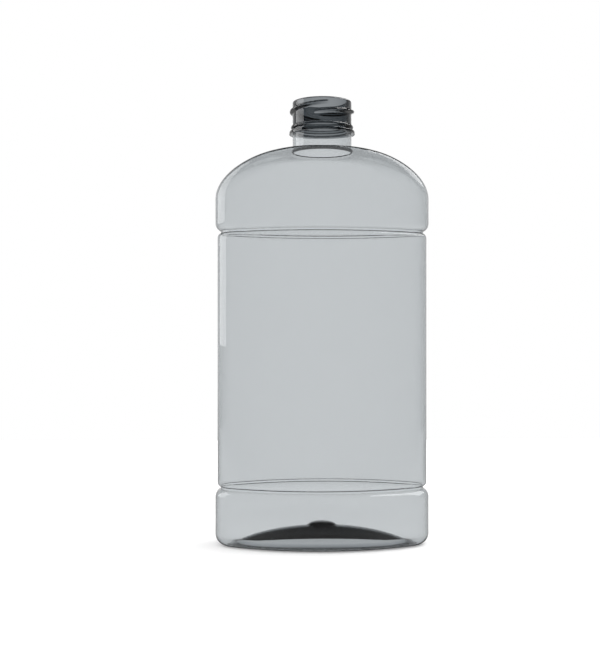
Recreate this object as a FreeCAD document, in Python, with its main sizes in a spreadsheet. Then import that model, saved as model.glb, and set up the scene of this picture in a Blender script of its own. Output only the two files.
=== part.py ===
import FreeCAD, Part
import math
import os
import Sketcher

# Oval bottle, blown in one piece from clear plastic, in millimetres.
# X runs across the wide face, Y through the depth and Z up. The origin is
# the middle of the foot, on the surface that the bottle stands on.

SIZES = (
    # Plan of the body: bowed front and back, rounded narrow ends
    ("bottle_width", 90.7),
    ("bottle_depth", 44.8),
    ("end_flat", 2.95),
    ("end_corner_radius", 11.5),
    # Blown wall
    ("wall", 0.3),
    ("base_wall", 1.05),
    # Foot
    ("foot_radius", 5.0),
    ("foot_land", 3.3),
    ("push_up_height", 7.1),
    ("push_up_centre_drop", 9.0),
    ("gate_width", 11.8),
    ("gate_height", 1.6),
    # Label panel between two grooves
    ("lower_groove_height", 24.3),
    ("upper_groove_height", 132.4),
    ("groove_gap", 0.4),
    ("groove_depth", 2.3),
    ("band_edge_radius", 3.6),
    ("panel_recess", 0.9),
    ("panel_edge_radius", 2.2),
    # Shoulder, whose dome starts this far above the upper groove
    ("shoulder_start", 14.1),
    ("shoulder_rise", 20.3),
    ("shoulder_edge_radius", 4.3),
    ("shoulder_corner_spread", 1.3),
    ("neck_root_radius", 0.15),
    ("neck_ledge", 0.6),
    # Neck finish
    ("neck_diameter", 25.1),
    ("finish_wall", 2.0),
    ("finish_height", 12.6),
    ("rim_radius", 0.5),
    ("rim_chamfer", 0.3),
    ("bore_end_height", 0.6),
    ("bore_end_drop", 0.2),
    ("transfer_bead_height", 7.6),
    ("transfer_bead_thickness", 1.25),
    ("transfer_bead_reach", 1.4),
    ("transfer_bead_radius", 0.4),
    ("lock_ring_height", 1.65),
    ("lock_ring_reach", 0.75),
    ("lock_ring_section", 1.7),
    # Two-start thread
    ("thread_lead", 6.8),
    ("thread_reach", 1.2),
    ("thread_below_rim", 4.3),
    ("thread_root_width", 2.4),
    ("thread_crest_width", 0.7),
    ("thread_root_sink", 0.5),
    ("thread_sweep", 216.0),
    ("thread_middle_angle", 176.0),
    ("thread_fade_reach", 0.9),
    ("thread_fade_offset", 2.4),
)

doc = FreeCAD.newDocument("OvalBottle")
sheet = doc.addObject("Spreadsheet::Sheet", "Sizes")
for row, (alias, value) in enumerate(SIZES, start=1):
    sheet.set("A%d" % row, alias.replace("_", " "))
    sheet.set("B%d" % row, str(value))
    sheet.setAlias("B%d" % row, alias)
doc.recompute()

# Half sizes and levels that several features share, as expressions on the sheet
HALF_WIDTH = "Sizes.bottle_width / 2"
HALF_DEPTH = "Sizes.bottle_depth / 2"
CORNER = "Sizes.end_corner_radius"
FOOT_BAND_TOP = "Sizes.lower_groove_height - Sizes.groove_gap / 2"
PANEL_BOTTOM = "Sizes.lower_groove_height + Sizes.groove_gap / 2"
PANEL_TOP = "Sizes.upper_groove_height - Sizes.groove_gap / 2"
SHOULDER_BAND_BOTTOM = "Sizes.upper_groove_height + Sizes.groove_gap / 2"
SHOULDER_START = "(Sizes.upper_groove_height + Sizes.shoulder_start)"
SHOULDER_TOP = SHOULDER_START + " + Sizes.shoulder_rise"
NECK_RADIUS = "Sizes.neck_diameter / 2"
BEAD_RADIUS = NECK_RADIUS + " + Sizes.transfer_bead_reach"
SHOULDER_FLAT = "(%s + Sizes.neck_root_radius + Sizes.neck_ledge)" % NECK_RADIUS
SHOULDER_CORNER = "(%s - Sizes.shoulder_corner_spread)" % SHOULDER_FLAT
BEAD_BOTTOM = SHOULDER_TOP + " + Sizes.transfer_bead_height"
BEAD_TOP = BEAD_BOTTOM + " + Sizes.transfer_bead_thickness"
RIM = BEAD_TOP + " + Sizes.finish_height"

# The bowed faces run tangent into the corners, which gives their radius
CORNER_X = "(%s - %s)" % (HALF_WIDTH, CORNER)
CORNER_TO_FACE = "(%s - Sizes.end_flat / 2)" % HALF_DEPTH
FACE_RADIUS = "((%s^2 + %s^2 - %s^2) / (2 * (%s - %s)))" % (
    CORNER_X, CORNER_TO_FACE, CORNER, CORNER_TO_FACE, CORNER)

# The elliptic rise of the shoulder is cut into sections this many degrees apart,
# and its width follows a slightly fuller curve than an ellipse
SHOULDER_STEP = 10
SHOULDER_FULLNESS = 1.25

# The least radius that is left on an edge, and how near two levels count as one
LEAST_EDGE = 0.3
SAME_LEVEL = 0.01


def number(expression):
    """The present value of an expression on the sheet."""
    value = sheet.evalExpression(expression)
    return float(getattr(value, "Value", value))


def origin_feature(body, role):
    """One of the body's own origin planes."""
    return next(item for item in body.Origin.OriginFeatures if item.Role == role)


def add_sketch(body, name, role, lift="0"):
    """A sketch on one of the body's own planes, raised by an expression."""
    sketch = body.newObject("Sketcher::SketchObject", name)
    sketch.AttachmentSupport = [(origin_feature(body, role), "")]
    sketch.MapMode = "FlatFace"
    sketch.setExpression("AttachmentOffset.Base.z", lift)
    return sketch


def bind(sketch, constraint, expression):
    """Add a dimension whose value follows an expression."""
    index = sketch.addConstraint(constraint)
    sketch.setExpression("Constraints[%d]" % index, expression)


def plan_sketch(body, name, lift, half_width, half_depth, corner, inset):
    """The bottle's plan at one level: two flat ends, four corners, two bowed faces."""
    half_width = "%s - (%s)" % (half_width, inset)
    half_depth = "%s - (%s)" % (half_depth, inset)
    corner = "%s - (%s)" % (corner, inset)
    face = "%s - (%s)" % (FACE_RADIUS, inset)
    sketch = add_sketch(body, name, "XY_Plane", lift)

    end_x = number(half_width)
    face_radius = number(face)
    corner_radius = number(corner)
    face_y = number(half_depth) - face_radius
    corner_x = end_x - corner_radius
    corner_y = math.sqrt((face_radius - corner_radius) ** 2 - corner_x ** 2) + face_y
    turn = math.atan2(corner_y - face_y, corner_x)

    def arc(x, y, radius, start, end):
        circle = Part.Circle(FreeCAD.Vector(x, y, 0), FreeCAD.Vector(0, 0, 1), radius)
        return Part.ArcOfCircle(circle, start, end)

    def flat(x, start, end):
        return Part.LineSegment(FreeCAD.Vector(x, start, 0), FreeCAD.Vector(x, end, 0))

    sketch.addGeometry([
        flat(end_x, -corner_y, corner_y),
        arc(corner_x, corner_y, corner_radius, 0, turn),
        arc(0, face_y, face_radius, turn, math.pi - turn),
        arc(-corner_x, corner_y, corner_radius, math.pi - turn, math.pi),
        flat(-end_x, corner_y, -corner_y),
        arc(-corner_x, -corner_y, corner_radius, math.pi, math.pi + turn),
        arc(0, -face_y, face_radius, math.pi + turn, 2 * math.pi - turn),
        arc(corner_x, -corner_y, corner_radius, 2 * math.pi - turn, 2 * math.pi),
    ], False)
    right, corner_1, back, corner_2, left, corner_3, front, corner_4 = range(8)
    start, end, centre = 1, 2, 3
    origin, x_axis, y_axis = -1, -1, -2
    for edge in range(8):
        sketch.addConstraint(Sketcher.Constraint("Tangent", edge, end, (edge + 1) % 8, start))
    sketch.addConstraint([
        Sketcher.Constraint("Vertical", right),
        Sketcher.Constraint("Symmetric", corner_1, centre, corner_4, centre, x_axis),
        Sketcher.Constraint("Symmetric", corner_1, centre, corner_2, centre, y_axis),
        Sketcher.Constraint("Symmetric", corner_2, centre, corner_3, centre, x_axis),
        Sketcher.Constraint("PointOnObject", back, centre, y_axis),
        Sketcher.Constraint("PointOnObject", front, centre, y_axis),
        Sketcher.Constraint("Equal", back, front),
    ])
    bind(sketch, Sketcher.Constraint("DistanceX", origin, 1, right, start, end_x), half_width)
    bind(sketch, Sketcher.Constraint("Radius", corner_1, corner_radius), corner)
    bind(sketch, Sketcher.Constraint("Radius", back, face_radius), face)
    bind(sketch, Sketcher.Constraint("DistanceY", back, centre, origin, 1, -face_y),
         "(%s) - (%s)" % (face, half_depth))
    return sketch


def outline_sketch(body, name, corners):
    """A closed outline of straight lines beside the bottle's axis, from its corners."""
    sketch = add_sketch(body, name, "XZ_Plane")
    places = [FreeCAD.Vector(number(x), number(z), 0) for x, z in corners]
    count = len(corners)
    for index in range(count):
        sketch.addGeometry(Part.LineSegment(places[index], places[(index + 1) % count]), False)
    for index in range(count):
        sketch.addConstraint(Sketcher.Constraint("Coincident", index, 2, (index + 1) % count, 1))
    for index, (x, z) in enumerate(corners):
        if x == "0":
            sketch.addConstraint(Sketcher.Constraint("PointOnObject", index, 1, -2))
        else:
            bind(sketch, Sketcher.Constraint("DistanceX", -1, 1, index, 1, places[index].x), x)
        bind(sketch, Sketcher.Constraint("DistanceY", -1, 1, index, 1, places[index].y), z)
    return sketch


def pad(body, name, sketch, length):
    """Raise a plan into an upright band."""
    feature = body.newObject("PartDesign::Pad", name)
    feature.Profile = sketch
    feature.setExpression("Length", length)
    return feature


def revolve(body, name, sketch):
    """Turn an outline about the bottle's axis."""
    feature = body.newObject("PartDesign::Revolution", name)
    feature.Profile = sketch
    feature.ReferenceAxis = (sketch, ["V_Axis"])
    feature.Angle = 360
    return feature


def round_edges(body, name, level, reach, radius):
    """Round the edges of the solid that lie on one level and touch one half size."""
    doc.recompute()
    base = body.Tip
    height = number(level)
    far = number(reach)
    names = []
    for index, edge in enumerate(base.Shape.Edges, start=1):
        box = edge.BoundBox
        on_level = max(abs(box.ZMin - height), abs(box.ZMax - height)) < SAME_LEVEL
        if on_level and abs(max(box.XMax, -box.XMin) - far) < SAME_LEVEL:
            names.append("Edge%d" % index)
    feature = body.newObject("PartDesign::Fillet", name)
    feature.Base = (base, names)
    feature.setExpression("Radius", radius)
    return feature


def sink_ellipsoid(body, name, level, half_width, half_depth, height):
    """Take an ellipsoid on the bottle's axis out of the solid."""
    feature = body.newObject("PartDesign::SubtractiveEllipsoid", name)
    feature.AttachmentSupport = [(origin_feature(body, "XY_Plane"), "")]
    feature.MapMode = "FlatFace"
    feature.setExpression("AttachmentOffset.Base.z", level)
    feature.setExpression("Radius1", height)
    feature.setExpression("Radius2", half_width)
    feature.setExpression("Radius3", half_depth)
    feature.Angle1 = -90
    feature.Angle2 = 90
    feature.Angle3 = 360
    return feature


def band_body(name, bottom, top, step, inset, edge_radii):
    """One upright band of the body, with its lower and upper edges rounded."""
    body = doc.addObject("PartDesign::Body", name)
    bottom = "%s + (%s)" % (bottom, inset)
    top = "%s - (%s)" % (top, inset)
    drawn_in = "%s + %s" % (step, inset)
    reach = "%s - (%s)" % (HALF_WIDTH, drawn_in)
    plan = plan_sketch(body, "plan", bottom, HALF_WIDTH, HALF_DEPTH, CORNER, drawn_in)
    pad(body, "band", plan, "%s - (%s)" % (top, bottom))
    for label, level, radius in zip(("lower_edge", "upper_edge"), (bottom, top), edge_radii):
        round_edges(body, label, level, reach, "max(%s - (%s); %s)" % (radius, inset, LEAST_EDGE))
    return body


def raise_dome(body, inset):
    """Loft the dome of the shoulder onto its upright band.

    Seen from the front the dome is near a quarter ellipse, and it keeps the
    full depth of the body up to a rounded edge beside the flat at the neck.
    """
    rise = "(Sizes.shoulder_rise - (%s))" % inset
    edge = "(Sizes.shoulder_edge_radius - (%s))" % inset
    sections = []
    for angle in range(0, 91, SHOULDER_STEP):
        up = math.sin(math.radians(angle))
        out = math.cos(math.radians(angle)) if angle < 90 else 0.0
        spread = out ** SHOULDER_FULLNESS
        climb = "max(1 - %s * %.6f / %s; 0)" % (rise, 1 - up, edge)
        sections.append(plan_sketch(
            body, "dome_plan",
            "%s + %s * %.6f" % (SHOULDER_START, rise, up),
            "%s + (%s - %s) * %.6f" % (SHOULDER_FLAT, HALF_WIDTH, SHOULDER_FLAT, spread),
            "%s - %s * (1 - sqrt(1 - (%s)^2))" % (HALF_DEPTH, edge, climb),
            "%s + (%s - %s) * %.6f" % (SHOULDER_CORNER, CORNER, SHOULDER_CORNER, out ** 2),
            inset))
    loft = body.newObject("PartDesign::AdditiveLoft", "dome")
    loft.Profile = sections[0]
    loft.Sections = sections[1:]
    loft.Ruled = False


def blown_form(name, inset):
    """The bottle's filled outer form, or, drawn in by the wall, the space inside it."""
    foot = band_body(name + "_foot", "0", FOOT_BAND_TOP, "0", inset,
                     ("Sizes.foot_radius", "Sizes.band_edge_radius"))
    panel = band_body(name + "_panel", PANEL_BOTTOM, PANEL_TOP, "Sizes.panel_recess", inset,
                      ("Sizes.panel_edge_radius", "Sizes.panel_edge_radius"))
    core = band_body(name + "_core", "Sizes.lower_groove_height / 2", SHOULDER_START,
                     "Sizes.groove_depth", inset, ())
    shoulder = band_body(name + "_shoulder", SHOULDER_BAND_BOTTOM,
                         "%s + (%s)" % (SHOULDER_START, inset), "0", inset,
                         ("Sizes.band_edge_radius",))
    raise_dome(shoulder, inset)
    return foot, panel, core, shoulder


def fuse(name, shapes):
    """Join solids into one."""
    joined = doc.addObject("Part::MultiFuse", name)
    joined.Shapes = shapes
    return joined


# The filled outer form, with its neck, beads and push-up
foot, panel, core, shoulder = blown_form("outer", "0")
finish_corners = [
    ("0", SHOULDER_START),
    (NECK_RADIUS, SHOULDER_START),
    (NECK_RADIUS, BEAD_BOTTOM),
    (BEAD_RADIUS, BEAD_BOTTOM),
    (BEAD_RADIUS, BEAD_TOP),
    (NECK_RADIUS, BEAD_TOP),
    (NECK_RADIUS, RIM),
    ("0", RIM),
]
revolve(shoulder, "neck", outline_sketch(shoulder, "neck_outline", finish_corners))
round_edges(shoulder, "neck_root", SHOULDER_TOP, NECK_RADIUS, "Sizes.neck_root_radius")
round_edges(shoulder, "bead_edge", BEAD_TOP, BEAD_RADIUS, "Sizes.transfer_bead_radius")
round_edges(shoulder, "rim_edge", RIM, NECK_RADIUS, "Sizes.rim_radius")

lock_ring = shoulder.newObject("PartDesign::AdditiveTorus", "lock_ring")
lock_ring.AttachmentSupport = [(origin_feature(shoulder, "XY_Plane"), "")]
lock_ring.MapMode = "FlatFace"
lock_ring.setExpression("AttachmentOffset.Base.z", BEAD_TOP + " + Sizes.lock_ring_height")
lock_ring.setExpression("Radius1",
                        NECK_RADIUS + " + Sizes.lock_ring_reach - Sizes.lock_ring_section / 2")
lock_ring.setExpression("Radius2", "Sizes.lock_ring_section / 2")

# The push-up is the cap of an ellipsoid whose centre lies below the foot
PUSH_UP_RISE = "(Sizes.push_up_height + Sizes.push_up_centre_drop)"
PUSH_UP_SHARE = "sqrt(1 - (Sizes.push_up_centre_drop / %s)^2)" % PUSH_UP_RISE
FOOT_EDGE = "Sizes.foot_radius + Sizes.foot_land"
PUSH_UP_HALF_WIDTH = "(%s - (%s)) / %s" % (HALF_WIDTH, FOOT_EDGE, PUSH_UP_SHARE)
PUSH_UP_HALF_DEPTH = "(%s - (%s)) / %s" % (HALF_DEPTH, FOOT_EDGE, PUSH_UP_SHARE)
sink_ellipsoid(foot, "push_up", "-Sizes.push_up_centre_drop", PUSH_UP_HALF_WIDTH,
               PUSH_UP_HALF_DEPTH, PUSH_UP_RISE)
outer = [foot, panel, core, shoulder]

# The space inside, which follows the outer form at the wall's thickness
foot, panel, core, shoulder = blown_form("inner", "Sizes.wall")
PLAIN_BORE = NECK_RADIUS + " - Sizes.wall"
FINISH_BORE = NECK_RADIUS + " - Sizes.finish_wall"
BORE_END = BEAD_BOTTOM + " + Sizes.bore_end_height"
bore_corners = [
    ("0", SHOULDER_START),
    (PLAIN_BORE, SHOULDER_START),
    (PLAIN_BORE, BORE_END + " - Sizes.bore_end_drop"),
    (FINISH_BORE, BORE_END),
    (FINISH_BORE, RIM + " - Sizes.rim_chamfer"),
    (FINISH_BORE + " + Sizes.rim_chamfer", RIM),
    (FINISH_BORE + " + Sizes.rim_chamfer", RIM + " + Sizes.finish_wall"),
    ("0", RIM + " + Sizes.finish_wall"),
]
revolve(shoulder, "bore", outline_sketch(shoulder, "bore_outline", bore_corners))
sink_ellipsoid(foot, "push_up", "-Sizes.push_up_centre_drop",
               PUSH_UP_HALF_WIDTH + " + Sizes.base_wall",
               PUSH_UP_HALF_DEPTH + " + Sizes.base_wall",
               PUSH_UP_RISE + " + Sizes.base_wall")
sink_ellipsoid(foot, "gate_mark", "Sizes.push_up_height + Sizes.base_wall",
               "Sizes.gate_width / 2", "Sizes.gate_width / 2", "Sizes.gate_height")
inner = [foot, panel, core, shoulder]


def thread_start(name, middle_angle):
    """One start of the right-hand thread, which fades into the neck at both ends.

    The ridge is a helical sweep. A round bar set off towards the ridge's
    middle trims its crest, so that the ends sink into the neck.
    """
    body = doc.addObject("PartDesign::Body", name + "_ridge")
    first_angle = "(%s - Sizes.thread_sweep / 2)" % middle_angle
    climb = "Sizes.thread_lead * Sizes.thread_sweep / 360"
    middle = "%s - Sizes.thread_below_rim - %s / 2" % (RIM, climb)
    root = NECK_RADIUS + " - Sizes.thread_root_sink"
    crest = NECK_RADIUS + " + Sizes.thread_reach"
    profile = outline_sketch(body, name + "_profile", [
        (root, "%s - Sizes.thread_root_width / 2" % middle),
        (crest, "%s - Sizes.thread_crest_width / 2" % middle),
        (crest, "%s + Sizes.thread_crest_width / 2" % middle),
        (root, "%s + Sizes.thread_root_width / 2" % middle),
    ])
    helix = body.newObject("PartDesign::AdditiveHelix", name + "_helix")
    helix.Profile = profile
    helix.ReferenceAxis = (profile, ["V_Axis"])
    helix.Mode = 0
    helix.setExpression("Pitch", "Sizes.thread_lead")
    helix.setExpression("Height", climb)
    body.Placement.Rotation = FreeCAD.Rotation(FreeCAD.Vector(0, 0, 1), 0)
    body.setExpression("Placement.Rotation.Angle", first_angle)

    bar = doc.addObject("Part::Cylinder", name + "_bar")
    bar.setExpression("Radius", NECK_RADIUS + " + Sizes.thread_fade_reach")
    bar.setExpression("Height", "Sizes.finish_height")
    bar.setExpression("Placement.Base.x", "Sizes.thread_fade_offset * cos(%s)" % middle_angle)
    bar.setExpression("Placement.Base.y", "Sizes.thread_fade_offset * sin(%s)" % middle_angle)
    bar.setExpression("Placement.Base.z", BEAD_TOP)

    trimmed = doc.addObject("Part::Common", name)
    trimmed.Base = body
    trimmed.Tool = bar
    return trimmed


threads = [
    thread_start("thread_start_1", "Sizes.thread_middle_angle"),
    thread_start("thread_start_2", "(Sizes.thread_middle_angle + 180)"),
]

bottle = doc.addObject("Part::Cut", "oval_bottle")
bottle.Base = fuse("filled_bottle", outer + threads)
bottle.Tool = fuse("inside_space", inner)
bottle.Label = "oval_bottle"
bottle.Placement = FreeCAD.Placement()
doc.recompute()

faults = [item.Name for item in doc.Objects
          if "Invalid" in item.State or "Error" in item.State]
if faults:
    raise RuntimeError("these features failed: " + ", ".join(faults))
sub_parts = [bottle]
for part in sub_parts:
    if part.Shape.isNull() or not part.Shape.isValid() or len(part.Shape.Solids) != 1:
        raise RuntimeError(part.Label + " is not one valid solid")

os.makedirs("parts", exist_ok=True)
for part in sub_parts:
    part.Shape.exportStep(os.path.join("parts", part.Label + ".step"))
    print("%s: %.1f cubic millimetres" % (part.Label, part.Shape.Volume))
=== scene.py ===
import math

import bmesh
import bpy
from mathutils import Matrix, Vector


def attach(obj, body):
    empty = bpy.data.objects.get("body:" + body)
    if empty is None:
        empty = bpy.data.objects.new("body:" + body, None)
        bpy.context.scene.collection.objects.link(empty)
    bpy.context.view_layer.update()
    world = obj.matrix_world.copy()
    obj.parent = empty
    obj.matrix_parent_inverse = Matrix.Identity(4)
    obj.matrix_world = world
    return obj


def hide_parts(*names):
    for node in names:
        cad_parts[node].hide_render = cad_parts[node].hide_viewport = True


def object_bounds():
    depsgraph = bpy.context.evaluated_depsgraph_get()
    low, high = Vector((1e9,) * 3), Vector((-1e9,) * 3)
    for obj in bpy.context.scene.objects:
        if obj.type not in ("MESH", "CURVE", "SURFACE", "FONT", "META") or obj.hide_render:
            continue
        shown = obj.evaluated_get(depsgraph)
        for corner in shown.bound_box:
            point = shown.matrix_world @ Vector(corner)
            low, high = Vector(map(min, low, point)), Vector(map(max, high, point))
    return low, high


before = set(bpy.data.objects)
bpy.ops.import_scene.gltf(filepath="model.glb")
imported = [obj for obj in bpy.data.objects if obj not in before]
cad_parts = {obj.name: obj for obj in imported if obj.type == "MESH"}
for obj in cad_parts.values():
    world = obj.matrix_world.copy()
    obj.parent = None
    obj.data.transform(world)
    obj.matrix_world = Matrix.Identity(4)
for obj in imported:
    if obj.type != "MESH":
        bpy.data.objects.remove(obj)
cad_low, cad_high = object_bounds()
scene = bpy.context.scene
scene.view_settings.view_transform = "Standard"


# The bottle's body: one piece of clear, faintly grey polyester, blown thin
# from a thick moulded tube. The wall is drawn as one skin, ring by ring, from
# the middle of the foot up the outside, over the rim and down the inside.
MM = 0.001
COLUMNS = 240
STEP = 2 * math.pi / COLUMNS
WALL = 0.3 * MM
HALF_WIDTH = cad_high.x
HALF_DEPTH = cad_high.y
RIM = cad_high.z
FACE_RADIUS = 77.0 * MM
END_CORNER = 11.5 * MM

skin = bmesh.new()


def oval(half_width=HALF_WIDTH, half_depth=HALF_DEPTH, corner=END_CORNER, inset=0.0):
    """The body's plan, as its reach from the axis in any direction."""
    half_width -= inset
    half_depth -= inset
    corner -= inset
    face = FACE_RADIUS - inset
    face_y = half_depth - face
    corner_x = half_width - corner
    corner_y = face_y + math.sqrt((face - corner) ** 2 - corner_x ** 2)
    join_x = corner_x * face / (face - corner)
    join_y = face_y + (corner_y - face_y) * face / (face - corner)

    def reach(angle):
        across = abs(math.cos(angle))
        deep = abs(math.sin(angle))
        if deep * half_width <= across * corner_y:
            return half_width / across
        if deep * join_x <= across * join_y:
            along = across * corner_x + deep * corner_y
            return along + math.sqrt(along ** 2 - corner_x ** 2 - corner_y ** 2 + corner ** 2)
        along = deep * face_y
        return along + math.sqrt(along ** 2 - face_y ** 2 + face ** 2)

    return reach


def draw_ring(reach, level):
    """Carry the skin's open edge on to its next ring; both may follow the direction."""
    made = bmesh.ops.extrude_edge_only(skin, edges=open_edge)["geom"]
    fresh = {item for item in made if isinstance(item, bmesh.types.BMVert)}
    open_edge[:] = [item for item in made if isinstance(item, bmesh.types.BMEdge)
                    and item.verts[0] in fresh and item.verts[1] in fresh]
    for vert in fresh:
        angle = STEP * round(math.atan2(vert.co.y, vert.co.x) / STEP)
        far = reach(angle) if callable(reach) else reach
        x = far * math.cos(angle)
        y = far * math.sin(angle)
        vert.co = (x, y, level(x, y) if callable(level) else level)


def sweep(count, first=0.0, last=math.pi / 2):
    """Evenly spaced angles from the first to the last."""
    return [first + (last - first) * index / count for index in range(count + 1)]


# The foot: a rounded heel round a narrow standing ring, inside which the base
# is pushed up in a shallow dome. A low button in its middle, on the inside
# only, is left from the moulded tube.
FOOT_RADIUS = 5.0 * MM
FOOT_LAND = 3.3 * MM
PUSH_UP_HEIGHT = 7.1 * MM
PUSH_UP_DROP = 9.0 * MM
BASE_WALL = 1.05 * MM
GATE_RADIUS = 5.9 * MM
GATE_HEIGHT = 1.6 * MM
MIDDLE_RING = 1.0 * MM
PUSH_UP_RINGS = 22
HEEL_RINGS = 10

rise = PUSH_UP_HEIGHT + PUSH_UP_DROP
share = math.sqrt(1 - (PUSH_UP_DROP / rise) ** 2)
dome_width = (HALF_WIDTH - FOOT_RADIUS - FOOT_LAND) / share
dome_depth = (HALF_DEPTH - FOOT_RADIUS - FOOT_LAND) / share


def push_up(thickness):
    """Height of the pushed-up base at a point, on a face this far above its underside."""
    def level(x, y):
        inside = 1 - (x / (dome_width + thickness)) ** 2 - (y / (dome_depth + thickness)) ** 2
        return (rise + thickness) * math.sqrt(max(inside, 0.0)) - PUSH_UP_DROP

    return level


def standing_line(part):
    """The edge of the push-up on the standing surface, or a smaller ellipse like it."""
    def reach(angle):
        return share * part / math.hypot(math.cos(angle) / dome_width,
                                         math.sin(angle) / dome_depth)

    return reach


first_ring = bmesh.ops.create_circle(skin, segments=COLUMNS, radius=MIDDLE_RING,
                                     cap_ends=True, cap_tris=True)["verts"]
open_edge = [edge for edge in skin.edges if edge.is_boundary]
for vert in first_ring:
    vert.co.z = push_up(0.0)(0.0, 0.0)
for index in range(1, PUSH_UP_RINGS):
    draw_ring(standing_line(index / PUSH_UP_RINGS), push_up(0.0))
draw_ring(standing_line(1.0), 0.0)
for angle in sweep(HEEL_RINGS, math.pi / 2, 0.0):
    draw_ring(oval(inset=FOOT_RADIUS * (1 - math.cos(angle))),
              FOOT_RADIUS * (1 - math.sin(angle)))


# The sides: a foot band, a label panel set back a little, and a shoulder band,
# with a groove between each two. The shoulder's dome then closes in over the
# width, and keeps the full depth up to a rounded edge beside its flat top.
LOWER_GROOVE = 24.3 * MM
UPPER_GROOVE = 132.4 * MM
GROOVE_GAP = 0.4 * MM
GROOVE_DEPTH = 2.3 * MM
BAND_EDGE = 3.6 * MM
PANEL_RECESS = 0.9 * MM
PANEL_EDGE = 2.2 * MM
SHOULDER_START = 146.5 * MM
SHOULDER_RISE = 20.3 * MM
SHOULDER_FLAT = 13.3 * MM
SHOULDER_EDGE = 4.3 * MM
SHOULDER_CORNER = 12.0 * MM
SHOULDER_FULLNESS = 1.25
EDGE_RINGS = 8
DOME_RINGS = 40


def band_edge(level, upward, recess, radius, gap):
    """The rounded edge of a band, from its upright side to the bottom of the groove."""
    radius -= gap
    level -= upward * gap
    turn = math.acos(1 - (GROOVE_DEPTH - recess) / radius)
    return [(oval(inset=recess + gap + radius * (1 - math.cos(angle))),
             level - upward * radius * (1 - math.sin(angle)))
            for angle in sweep(EDGE_RINGS, 0.0, turn)]


def side_rings(gap):
    """The rings of the body's side from the foot band to the shoulder's top."""
    half_gap = GROOVE_GAP / 2
    rings = band_edge(LOWER_GROOVE - half_gap, 1, 0.0, BAND_EDGE, gap)
    rings += reversed(band_edge(LOWER_GROOVE + half_gap, -1, PANEL_RECESS, PANEL_EDGE, gap))
    rings += band_edge(UPPER_GROOVE - half_gap, 1, PANEL_RECESS, PANEL_EDGE, gap)
    rings += reversed(band_edge(UPPER_GROOVE + half_gap, -1, 0.0, BAND_EDGE, gap))
    height = SHOULDER_RISE - gap
    edge = SHOULDER_EDGE - gap
    for angle in sweep(DOME_RINGS):
        out = max(math.cos(angle), 0.0)
        climb = max(1 - height * (1 - math.sin(angle)) / edge, 0.0)
        rings.append((
            oval(SHOULDER_FLAT + (HALF_WIDTH - SHOULDER_FLAT) * out ** SHOULDER_FULLNESS,
                 HALF_DEPTH - edge * (1 - math.sqrt(1 - climb ** 2)),
                 SHOULDER_CORNER + (END_CORNER - SHOULDER_CORNER) * out ** 2, gap),
            SHOULDER_START + height * math.sin(angle)))
    return rings


for reach, level in side_rings(0.0):
    draw_ring(reach, level)


# The neck and its finish, as moulded: a plain stretch, a bead by which the
# bottle is carried, a lock ring, and a thread of two starts. Each start runs
# a little over half a turn and fades into the neck at both ends.
NECK_RADIUS = 12.55 * MM
NECK_ROOT = 0.15 * MM
BEAD_HEIGHT = 7.6 * MM
BEAD_THICKNESS = 1.25 * MM
BEAD_RADIUS = 13.95 * MM
BEAD_EDGE = 0.4 * MM
LOCK_HEIGHT = 1.65 * MM
LOCK_RADIUS = 13.3 * MM
LOCK_SECTION = 0.85 * MM
THREAD_LEAD = 6.8 * MM
THREAD_RADIUS = 13.75 * MM
THREAD_BELOW_RIM = 4.3 * MM
THREAD_MIDDLE = math.radians(176)
THREAD_FOOT = 1.1 * MM
THREAD_CREST = 0.2 * MM
THREAD_FADE = 13.45 * MM
THREAD_OFFSET = 2.4 * MM
THREAD_RINGS = 62
OVER_LOCK_RING = 0.1 * MM
RIM_RADIUS = 0.5 * MM
ARC_RINGS = 5

shoulder_top = SHOULDER_START + SHOULDER_RISE
bead_bottom = shoulder_top + BEAD_HEIGHT
bead_top = bead_bottom + BEAD_THICKNESS
thread_level = RIM - THREAD_BELOW_RIM
for angle in sweep(ARC_RINGS):
    draw_ring(NECK_RADIUS + NECK_ROOT * (1 - math.sin(angle)),
              shoulder_top + NECK_ROOT * (1 - math.cos(angle)))
draw_ring(NECK_RADIUS, bead_bottom)
draw_ring(BEAD_RADIUS, bead_bottom)
for angle in sweep(ARC_RINGS):
    draw_ring(BEAD_RADIUS - BEAD_EDGE * (1 - math.cos(angle)),
              bead_top - BEAD_EDGE * (1 - math.sin(angle)))
draw_ring(NECK_RADIUS, bead_top)
lock_middle = LOCK_RADIUS - LOCK_SECTION
lock_turn = math.acos((NECK_RADIUS - lock_middle) / LOCK_SECTION)
for angle in sweep(2 * ARC_RINGS, -lock_turn, lock_turn):
    draw_ring(lock_middle + LOCK_SECTION * math.cos(angle),
              bead_top + LOCK_HEIGHT + LOCK_SECTION * math.sin(angle))


def threaded(level):
    """Reach of the neck and the ridges on it, at one level."""
    def reach(angle):
        far = NECK_RADIUS
        for start in (0, 1):
            turned = (angle - THREAD_MIDDLE + math.pi * (1 - start)) % (2 * math.pi) - math.pi
            middle = thread_level + THREAD_LEAD * turned / (2 * math.pi)
            climb = (THREAD_FOOT - abs(level - middle)) / (THREAD_FOOT - THREAD_CREST)
            climb = min(max(climb, 0.0), 1.0)
            fade = THREAD_OFFSET * math.cos(turned) + math.sqrt(
                THREAD_FADE ** 2 - (THREAD_OFFSET * math.sin(turned)) ** 2)
            height = max(min(THREAD_RADIUS, fade) - NECK_RADIUS, 0.0)
            far = max(far, NECK_RADIUS + height * climb * climb * (3 - 2 * climb))
        return far

    return reach


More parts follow.
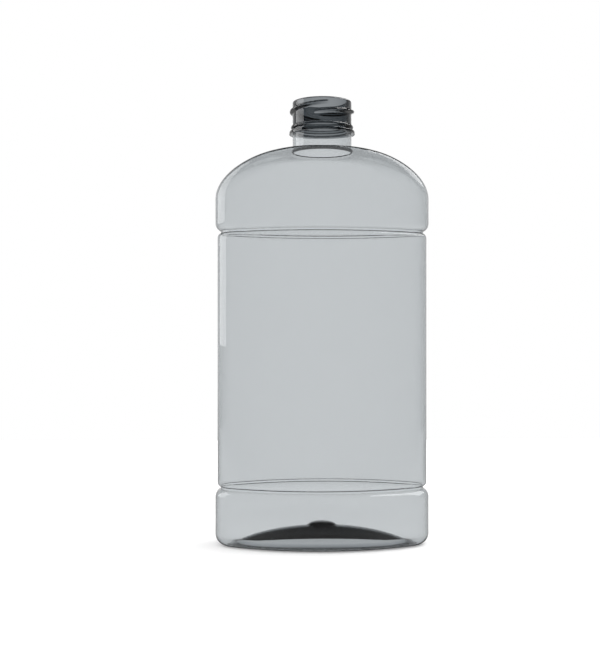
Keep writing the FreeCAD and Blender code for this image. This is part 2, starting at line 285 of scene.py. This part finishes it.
thread_bottom = bead_top + LOCK_HEIGHT + LOCK_SECTION + OVER_LOCK_RING
thread_end = RIM - RIM_RADIUS
for index in range(THREAD_RINGS):
    level = thread_bottom + (thread_end - thread_bottom) * index / THREAD_RINGS
    draw_ring(threaded(level), level)
for angle in sweep(ARC_RINGS):
    draw_ring(NECK_RADIUS - RIM_RADIUS * (1 - math.cos(angle)),
              RIM - RIM_RADIUS * (1 - math.sin(angle)))


# The inside: over the rim and down the finish's thick wall, out to the thin
# wall below the bead, and then along every band, groove and edge of the
# outside, one wall's thickness in.
FINISH_WALL = 2.0 * MM
RIM_CHAMFER = 0.3 * MM
BORE_END_RISE = 0.6 * MM
BORE_LEDGE = 0.2 * MM
RINGS_UNDER_BUTTON = 4
SAME_PLACE = 1e-7
SHARP_TURN = math.radians(30)

bore = NECK_RADIUS - FINISH_WALL
bore_end = bead_bottom + BORE_END_RISE
draw_ring(bore + RIM_CHAMFER, RIM)
draw_ring(bore, RIM - RIM_CHAMFER)
draw_ring(bore, bore_end)
draw_ring(NECK_RADIUS - WALL, bore_end - BORE_LEDGE)
draw_ring(NECK_RADIUS - WALL, shoulder_top - WALL)
for reach, level in reversed(side_rings(WALL)):
    draw_ring(reach, level)
inner_base = push_up(BASE_WALL)


def heel_floor(level):
    """The heel's inside, or the pushed-up base where that is higher."""
    return lambda x, y: max(level, inner_base(x, y))


def button(x, y):
    """The pushed-up base with the button in its middle."""
    inside = 1 - (x * x + y * y) / GATE_RADIUS ** 2
    height = PUSH_UP_HEIGHT + BASE_WALL + GATE_HEIGHT * math.sqrt(max(inside, 0.0))
    return max(inner_base(x, y), height) if inside > 0 else inner_base(x, y)


heel = FOOT_RADIUS - WALL
for angle in sweep(2 * HEEL_RINGS):
    draw_ring(oval(inset=WALL + heel * (1 - math.cos(angle))),
              heel_floor(WALL + heel * (1 - math.sin(angle))))
for index in range(PUSH_UP_RINGS - 1, RINGS_UNDER_BUTTON, -1):
    draw_ring(standing_line(index / PUSH_UP_RINGS), inner_base)
for angle in sweep(HEEL_RINGS)[:-1]:
    draw_ring(GATE_RADIUS * math.cos(angle), button)
draw_ring(0.0, button)
bmesh.ops.remove_doubles(skin, verts=skin.verts, dist=SAME_PLACE)
bmesh.ops.recalc_face_normals(skin, faces=skin.faces)

bottle_mesh = bpy.data.meshes.new("blown_bottle")
skin.to_mesh(bottle_mesh)
skin.free()
bottle_mesh.shade_smooth()
bottle_mesh.set_sharp_from_angle(angle=SHARP_TURN)
bottle = bpy.data.objects.new("blown_bottle", bottle_mesh)
scene.collection.objects.link(bottle)


# The plastic: clear polyester with a faint grey tint, which shows where the
# moulded wall is thick. A blown wall is never quite even, so it has low waves
# and a gloss that varies a little.
REFRACTION = 1.57
SURFACE_TINT = (0.968, 0.985, 0.993, 1.0)
DEPTH_TINT = (0.365, 0.39, 0.41, 1.0)
ABSORPTION = 1000.0
WAVES = 45.0
WAVE_HEIGHT = 0.04 * MM
GLOSSIEST = 0.012
DULLEST = 0.028


class Wire:
    """An output of a node, so that sums on it read as sums; a number may stand on either side."""

    def __init__(self, tree, socket=None):
        self.tree = tree
        self.socket = socket

    def node(self, kind, settings=None, inputs=None, output=0):
        """Add a node, set it up, give its sockets values or links, and hand on one output."""
        made = self.tree.nodes.new("ShaderNode" + kind)
        for name, value in (settings or {}).items():
            setattr(made, name, value)
        for name, value in (inputs or {}).items():
            if isinstance(value, Wire):
                self.tree.links.new(value.socket, made.inputs[name])
            else:
                made.inputs[name].default_value = value
        return Wire(self.tree, made.outputs[output])

    def __add__(self, other):
        return self.node("Math", {"operation": "ADD"}, {0: self, 1: other})

    def __sub__(self, other):
        return self.node("Math", {"operation": "SUBTRACT"}, {0: self, 1: other})

    def __rsub__(self, other):
        return self.node("Math", {"operation": "SUBTRACT"}, {0: other, 1: self})

    def __mul__(self, other):
        return self.node("Math", {"operation": "MULTIPLY"}, {0: self, 1: other})

    __radd__ = __add__
    __rmul__ = __mul__


plastic = bpy.data.materials.new("clear_grey_polyester")
plastic.use_nodes = True
wire = Wire(plastic.node_tree)
nodes = plastic.node_tree.nodes
links = plastic.node_tree.links
surface = nodes["Principled BSDF"]
surface.inputs["Transmission Weight"].default_value = 1.0
surface.inputs["IOR"].default_value = REFRACTION
surface.inputs["Base Color"].default_value = SURFACE_TINT
absorbing = wire.node("VolumeAbsorption", inputs={"Color": DEPTH_TINT, "Density": ABSORPTION})
links.new(absorbing.socket, nodes["Material Output"].inputs["Volume"])
place = wire.node("TexCoord", output="Object")
uneven = wire.node("TexNoise", inputs={"Vector": place, "Scale": WAVES, "Detail": 1.0})
ripple = wire.node("Bump", inputs={"Height": uneven, "Strength": 1.0, "Distance": WAVE_HEIGHT})
gloss = wire.node("MapRange", inputs={"Value": uneven, "To Min": GLOSSIEST, "To Max": DULLEST})
links.new(ripple.socket, surface.inputs["Normal"])
links.new(gloss.socket, surface.inputs["Roughness"])
bottle_mesh.materials.append(plastic)
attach(bottle, "root")
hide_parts("oval_bottle")


# The white room: white all round, seen directly or through up to three walls of
# the bottle, and dimmed past that by painted shade, which darkens the pushed-up
# base. In a reflection it is a studio, with a backdrop behind the bottle, half as
# bright well below the horizon and dark overhead.
DARK_ROOM = 0.03
BACKDROP = 0.7
BACKDROP_CENTRE = 0.27
CENTRE_FALLOFF = 16.0
BACKDROP_FULL = 0.2
BACKDROP_TOP = 0.6
BELOW_HORIZON = -0.05
FAR_DOWN = -0.18
SHARE_FAR_DOWN = 0.5
FACES_OF_THREE_WALLS = 6.0
FACES_OF_FOUR_WALLS = 8.0
SHADE_PAST_FOUR_WALLS = 0.08


def in_mirror(wire, seen):
    """White, or what is seen once the path has been reflected; darkened by painted shade behind
    many walls.
    """
    reflections = wire.node("LightPath", output="Glossy Depth")
    mirrored = wire.node("Math", {"operation": "MINIMUM"}, {0: reflections, 1: 1.0})
    # Painted shade: seen through more than three walls of the bottle, the room and the floor go
    # dim, which darkens the pushed-up base.
    faces = wire.node("LightPath", output="Transmission Depth")
    painted_shade_past_walls = wire.node("MapRange", inputs={"Value": faces, "From Min": FACES_OF_THREE_WALLS,
                                           "From Max": FACES_OF_FOUR_WALLS, "To Min": 1.0,
                                           "To Max": SHADE_PAST_FOUR_WALLS})
    return (1.0 + mirrored * (seen - 1.0)) * painted_shade_past_walls


def studio_level(wire, direction):
    """How bright the studio is in a direction: dark in front, and pale behind."""
    back = wire.node("SeparateXYZ", inputs={0: direction}, output="Y")
    up = wire.node("SeparateXYZ", inputs={0: direction}, output="Z")
    behind = wire.node("Math", {"operation": "MAXIMUM"}, {0: back, 1: 0.0})
    centre = wire.node("Math", {"operation": "POWER"}, {0: behind, 1: CENTRE_FALLOFF})
    low = wire.node("MapRange", {"interpolation_type": "SMOOTHSTEP"},
                    {"Value": up, "From Min": BACKDROP_FULL, "From Max": BACKDROP_TOP,
                     "To Min": 1.0, "To Max": 0.0})
    not_far_down = wire.node("MapRange", inputs={"Value": up, "From Min": FAR_DOWN,
                                                 "From Max": BELOW_HORIZON,
                                                 "To Min": SHARE_FAR_DOWN})
    return DARK_ROOM + (BACKDROP * behind + BACKDROP_CENTRE * centre) * low * not_far_down


world = bpy.data.worlds.new("white_room")
scene.world = world
world.use_nodes = True
wire = Wire(world.node_tree)
way = wire.node("TexCoord", output="Generated")
sky = world.node_tree.nodes["Background"]
sky.inputs["Color"].default_value = (1.0, 1.0, 1.0, 1.0)
seen = in_mirror(wire, studio_level(wire, way))
world.node_tree.links.new(seen.socket, sky.inputs["Strength"])


# Two soft boxes, a tall one at the left and a square one overhead at the right.
# They are seen in reflections off the bottle's outside, and not through it.
def soft_box(name, place, target, width, height, brightness):
    """An evenly lit rectangle that faces a point."""
    lamp = bpy.data.lights.new(name, "AREA")
    lamp.shape = "RECTANGLE"
    lamp.size = width
    lamp.size_y = height
    lamp.energy = brightness * math.pi * width * height
    box = bpy.data.objects.new(name, lamp)
    box.location = place
    box.rotation_euler = (Vector(target) - Vector(place)).to_track_quat("-Z", "Y").to_euler()
    box.visible_camera = False
    box.visible_transmission = False
    scene.collection.objects.link(box)


soft_box("left_soft_box", place=(-0.97, 0.22, 0.62), target=(0.0, 0.0, 0.62),
         width=0.85, height=1.08, brightness=2.2)
soft_box("right_soft_box", place=(0.75, 0.15, 0.85), target=(0.0, 0.0, 0.15),
         width=0.9, height=0.9, brightness=3.2)


# The surface that the bottle stands on: plain white paper, which takes the
# bottle's soft shadow. Through the plastic it is as white as the room. In
# reflections it glows with a painted reflection, pale behind the bottle and
# dark in front, with painted shade under the foot.
FLOOR_HALF = 0.45
PAPER_MIRRORED = 0.55
DARK_IN_FRONT = -0.15
PALE_BEHIND = 0.05
UNDER_FOOT = 0.9
CLEAR_OF_FOOT = 1.3
PAPER_WHITE = (0.8, 0.8, 0.8, 1.0)
PAPER_GLOW = 0.2
floor_mesh = bpy.data.meshes.new("white_floor")
sheet = bmesh.new()
bmesh.ops.create_grid(sheet, x_segments=1, y_segments=1, size=FLOOR_HALF)
sheet.to_mesh(floor_mesh)
sheet.free()
floor = bpy.data.objects.new("white_floor", floor_mesh)
scene.collection.objects.link(floor)
paper = bpy.data.materials.new("white_paper")
paper.use_nodes = True
wire = Wire(paper.node_tree)
matt = paper.node_tree.nodes["Principled BSDF"]
matt.inputs["Base Color"].default_value = PAPER_WHITE
matt.inputs["Roughness"].default_value = 1.0
matt.inputs["Specular IOR Level"].default_value = 0.0
matt.inputs["Emission Color"].default_value = (1.0, 1.0, 1.0, 1.0)
matt.inputs["Emission Strength"].default_value = PAPER_GLOW
mirrored = wire.node("LightPath", output="Is Glossy Ray")
through = wire.node("LightPath", output="Is Transmission Ray")
by_bottle = wire.node("Math", {"operation": "MAXIMUM"}, {0: mirrored, 1: through})
spot = wire.node("TexCoord", output="Object")
in_half_sizes = wire.node("VectorMath", {"operation": "DIVIDE"},
                          {0: spot, 1: (HALF_WIDTH, HALF_DEPTH, 1.0)})
off_axis = wire.node("VectorMath", {"operation": "LENGTH"}, {0: in_half_sizes}, output="Value")
# Painted shade under the foot: the paper's painted reflection is dark under the bottle and
# brightens clear of its foot.
clear = wire.node("MapRange", {"interpolation_type": "SMOOTHSTEP"},
                  {"Value": off_axis, "From Min": UNDER_FOOT, "From Max": CLEAR_OF_FOOT,
                   "To Min": 0.0, "To Max": PAPER_MIRRORED - DARK_ROOM})
depth = wire.node("SeparateXYZ", inputs={0: spot}, output="Y")
# Painted reflection: dark in front of the bottle and pale behind it.
painted_reflection_towards_back = wire.node("MapRange", {"interpolation_type": "SMOOTHSTEP"},
                         {"Value": depth, "From Min": DARK_IN_FRONT, "From Max": PALE_BEHIND})
brightness = in_mirror(wire, DARK_ROOM + clear * painted_reflection_towards_back)
white = wire.node("Emission", inputs={"Strength": brightness})
shade = wire.node("MixShader", inputs={0: by_bottle, 1: Wire(paper.node_tree, matt.outputs[0]),
                                       2: white})
paper.node_tree.links.new(shade.socket, paper.node_tree.nodes["Material Output"].inputs[0])
floor.data.materials.append(paper)


# The camera stands a little to the left of the bottle, at about half its height,
# and looks level. The bottle is seen turned by a degree or two.
IMAGE_HEIGHT = 670
FOCAL_PIXELS = 1075.0
SENSOR = 36.0
CAMERA_DISTANCE = 0.459
CAMERA_HEIGHT = 0.0889
CAMERA_SIDESTEP = 0.0094
BOTTLE_TURN = math.radians(1.9)
NEAREST_SEEN = 0.01
lens = bpy.data.cameras.new("camera")
lens.sensor_fit = "VERTICAL"
lens.sensor_height = SENSOR
lens.lens = SENSOR * FOCAL_PIXELS / IMAGE_HEIGHT
lens.clip_start = NEAREST_SEEN
camera = bpy.data.objects.new("camera", lens)
camera.location = (
    -CAMERA_SIDESTEP * math.cos(BOTTLE_TURN) - CAMERA_DISTANCE * math.sin(BOTTLE_TURN),
    CAMERA_SIDESTEP * math.sin(BOTTLE_TURN) - CAMERA_DISTANCE * math.cos(BOTTLE_TURN),
    CAMERA_HEIGHT,
)
camera.rotation_euler = (math.radians(90), 0.0, -BOTTLE_TURN)
scene.collection.objects.link(camera)
scene.camera = camera
